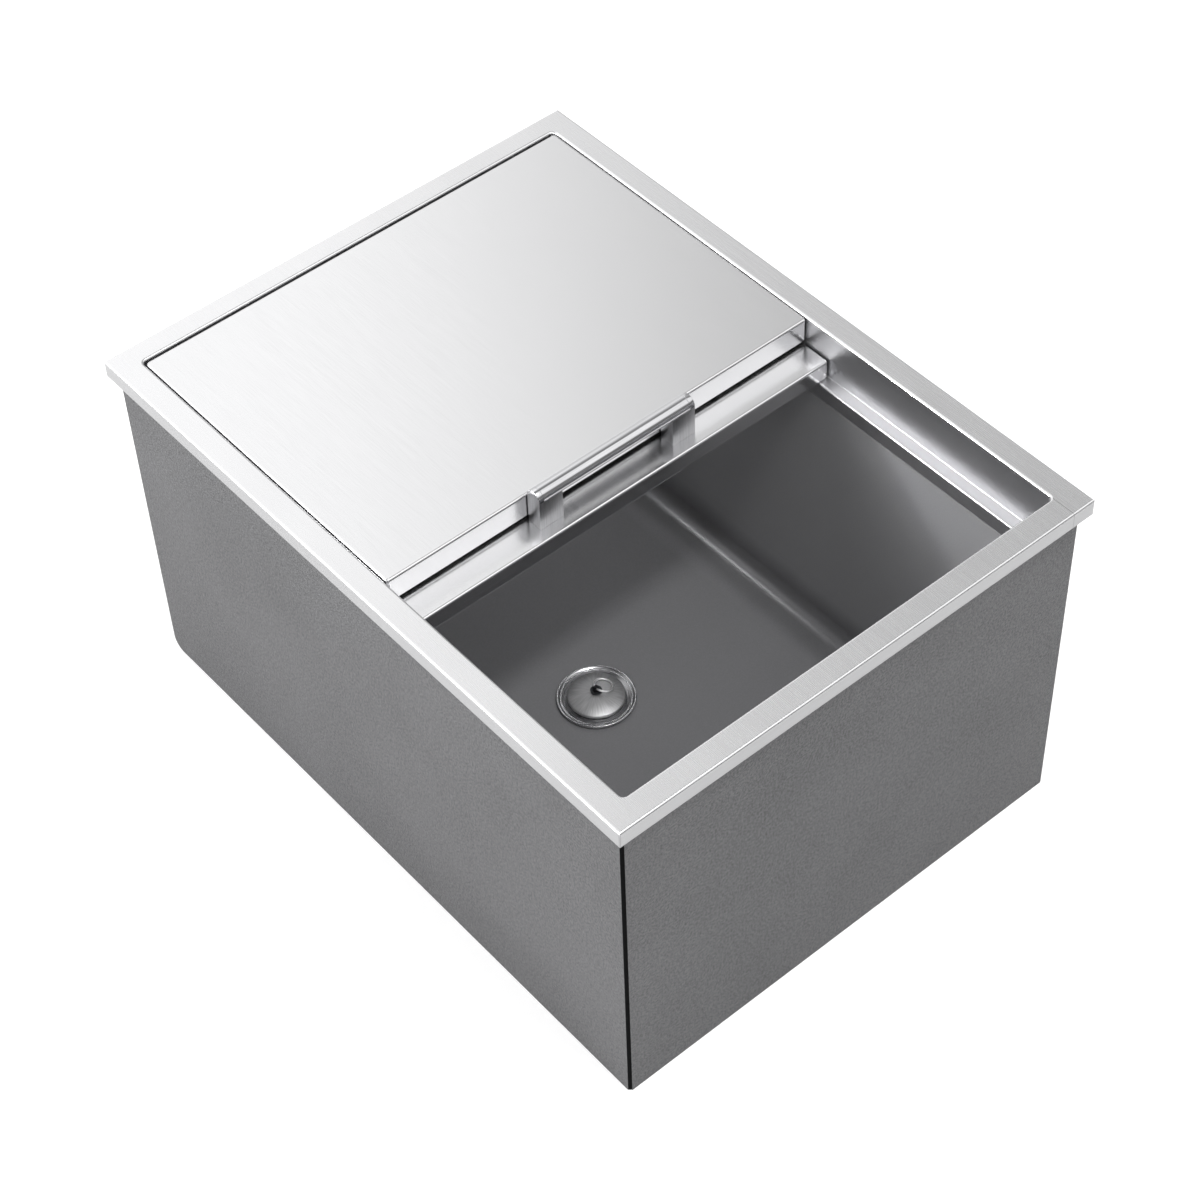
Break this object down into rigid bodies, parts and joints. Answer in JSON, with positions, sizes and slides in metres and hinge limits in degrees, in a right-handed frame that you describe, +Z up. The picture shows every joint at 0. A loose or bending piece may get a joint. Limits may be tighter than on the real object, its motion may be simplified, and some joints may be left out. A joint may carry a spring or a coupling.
{
  "type": "drop-in ice bin",
  "caption": "Rectangular drop-in ice bin: flanged rim, insulated jacket, coved tub with a plugged floor drain, lift-off rear cover and sliding front cover with a bar handle.",
  "frame": {"origin": "middle of the footprint, on the ground that the jacket stands on", "axes": "+Z up, +Y from the open front end towards the rear cover, +X to the right seen from the front"},
  "size_m": [0.4572, 0.6096, 0.3423],
  "materials": {
    "brushed_frame": "satin",
    "cover_sheet": "satin",
    "satin_tub": "satin",
    "jacket_sheet": "matte",
    "black_sealant": "matte",
    "foam": "matte",
    "polished_bar": "gloss",
    "brushed_post": "satin",
    "fastener_steel": "satin",
    "drain_steel": "satin",
    "rubber": "matte",
    "dark_stud": "satin",
    "ring_wire": "gloss"
  },
  "bodies": {
    "bin": {"top_frame": "brushed_frame", "tub_liner": "satin_tub", "jacket_front": "jacket_sheet", "jacket_back": "jacket_sheet", "jacket_left": "jacket_sheet", "jacket_right": "jacket_sheet", "jacket_bottom": "jacket_sheet", "jacket_seam_seal": "black_sealant", "insulation_foam": "foam", "cover_rest_left": "brushed_frame", "cover_rest_right": "brushed_frame", "drain_body": "drain_steel", "drain_top_washer": "rubber", "drain_under_washer": "rubber", "drain_backnut": "fastener_steel"},
    "front_slider": {"sliding_cover": "cover_sheet", "handle_bar": "polished_bar", "handle_post_left": "brushed_post", "handle_post_right": "brushed_post", "handle_screws": "fastener_steel", "handle_washers": "fastener_steel"},
    "rear_lid": {"rear_cover": "cover_sheet"},
    "stopper": {"stopper_cap": "drain_steel", "stopper_seal": "rubber", "stopper_stud": "dark_stud", "stopper_nut": "fastener_steel"},
    "ring": {"pull_ring": "ring_wire"}
  },
  "joints": [
    {"name": "cover_slide", "type": "slide", "parent": "bin", "child": "front_slider", "axis": [0, -1, 0], "range_m": [0, 0.2322]},
    {"name": "rear_cover_lift", "type": "slide", "parent": "bin", "child": "rear_lid", "axis": [0, 0, 1], "range_m": [0, 0.1]},
    {"name": "stopper_lift", "type": "slide", "parent": "bin", "child": "stopper", "axis": [0, 0, 1], "range_m": [0, 0.2]},
    {"name": "ring_swing", "type": "hinge", "parent": "stopper", "child": "ring", "pos_m": [0, 0, 0.03031], "axis": [0, -1, 0], "range_deg": [0, 205]}
  ]
}
